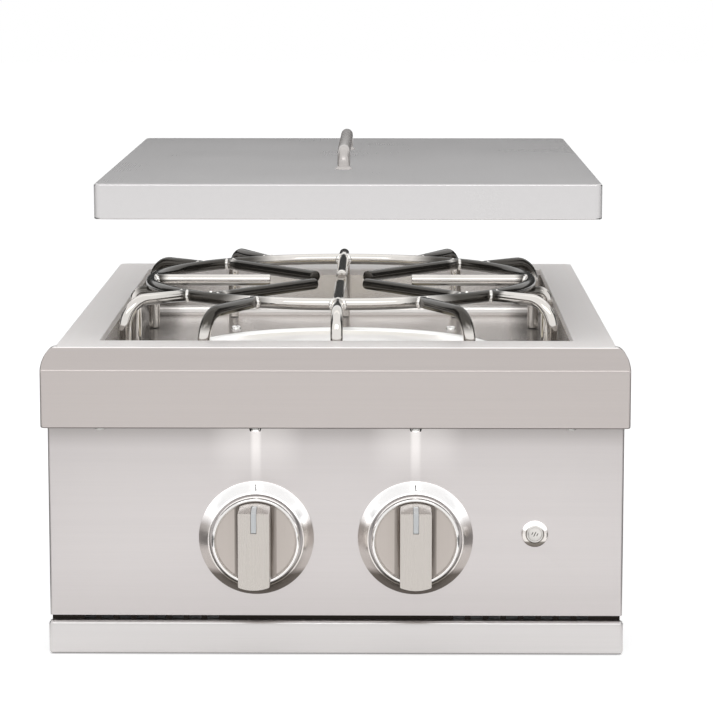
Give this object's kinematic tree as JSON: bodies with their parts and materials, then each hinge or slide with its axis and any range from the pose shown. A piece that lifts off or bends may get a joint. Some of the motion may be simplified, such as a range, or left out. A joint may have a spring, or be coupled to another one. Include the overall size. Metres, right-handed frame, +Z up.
{
  "type": "built-in side burner",
  "caption": "Stainless drop-in gas side burner with a lift-off lid, a round rod grate over a ringed burner, turning knobs and a spark button.",
  "frame": {"origin": "under the middle of the whole box, on the surface the base stands on", "axes": "+Z up, -Y out of the control panel towards the cook, +X to the right as the cook sees it"},
  "size_m": [0.394, 0.527, 0.3361],
  "materials": {
    "brushed_stainless": "brushed",
    "polished_stainless": "polished",
    "grate_rod": "polished",
    "satin_metal": "satin",
    "plated_steel": "galvanised",
    "cast_iron": "rough",
    "brass": "machined",
    "black_plastic": "matte",
    "clear_insert": "clear",
    "ceramic": "glazed"
  },
  "bodies": {
    "burner_body": {"top_frame": "brushed_stainless", "burner_pan": "brushed_stainless", "front_panel": "brushed_stainless", "vent_strip": "brushed_stainless", "bottom_rail": "brushed_stainless", "burner_bowl": "polished_stainless", "knob_bezel_left": "polished_stainless", "knob_bezel_right": "polished_stainless", "button_bezel": "polished_stainless", "outer_venturi": "plated_steel", "inner_venturi": "plated_steel", "gas_manifold": "plated_steel", "body_shell": "plated_steel", "back_panel": "plated_steel", "lip_screw_left": "plated_steel", "lip_screw_right": "plated_steel", "burner_base": "cast_iron", "outer_burner": "cast_iron", "inner_burner": "cast_iron", "outer_burner_cap": "brass", "inner_burner_cap": "brass", "gas_valve_left": "brass", "gas_valve_right": "brass", "electrode": "ceramic", "igniter_module": "black_plastic", "ignition_lead": "black_plastic", "panel_lamp_left": "black_plastic", "panel_lamp_right": "black_plastic"},
    "grate": {"grate_ring": "grate_rod", "grate_finger_right": "grate_rod", "grate_finger_rear_right": "grate_rod", "grate_finger_rear": "grate_rod", "grate_finger_rear_left": "grate_rod", "grate_finger_left": "grate_rod", "grate_finger_front_left": "grate_rod", "grate_finger_front": "grate_rod", "grate_finger_front_right": "grate_rod", "grate_leg_front": "grate_rod", "grate_leg_front_left": "grate_rod", "grate_corner_leg_front_left": "grate_rod", "grate_leg_front_right": "grate_rod", "grate_corner_leg_front_right": "grate_rod", "grate_leg_rear": "grate_rod", "grate_leg_rear_left": "grate_rod", "grate_corner_leg_rear_left": "grate_rod", "grate_leg_rear_right": "grate_rod", "grate_corner_leg_rear_right": "grate_rod", "grate_side_leg_left": "grate_rod", "grate_side_leg_right": "grate_rod"},
    "lid": {"lid_panel": "brushed_stainless", "lid_handle": "polished_stainless"},
    "left_push": {"stem_collar_left": "plated_steel"},
    "left_knob": {"knob_left": "satin_metal", "knob_pointer_left": "clear_insert", "valve_stem_left": "brass"},
    "right_push": {"stem_collar_right": "plated_steel"},
    "right_knob": {"knob_right": "satin_metal", "knob_pointer_right": "clear_insert", "valve_stem_right": "brass"},
    "button": {"igniter_button": "satin_metal"}
  },
  "joints": [
    {"name": "grate_lift", "type": "slide", "parent": "burner_body", "child": "grate", "axis": [0, 0, 1], "range_m": [0, 0.045]},
    {"name": "lid_lift", "type": "slide", "parent": "grate", "child": "lid", "axis": [0, 0, 1], "range_m": [-0.083, 0]},
    {"name": "igniter_press", "type": "slide", "parent": "burner_body", "child": "button", "axis": [0, 1, 0], "range_m": [0, 0.003], "stiffness_N_per_m": 900},
    {"name": "left_knob_push", "type": "slide", "parent": "burner_body", "child": "left_push", "axis": [0, 1, 0], "range_m": [0, 0.003], "stiffness_N_per_m": 900},
    {"name": "left_knob_turn", "type": "hinge", "parent": "left_push", "child": "left_knob", "pos_m": [-0.054, -0.2248, 0.08], "axis": [0, -1, 0], "range_deg": [0, 180]},
    {"name": "right_knob_push", "type": "slide", "parent": "burner_body", "child": "right_push", "axis": [0, 1, 0], "range_m": [0, 0.003], "stiffness_N_per_m": 900},
    {"name": "right_knob_turn", "type": "hinge", "parent": "right_push", "child": "right_knob", "pos_m": [0.054, -0.2248, 0.08], "axis": [0, -1, 0], "range_deg": [0, 180]}
  ]
}
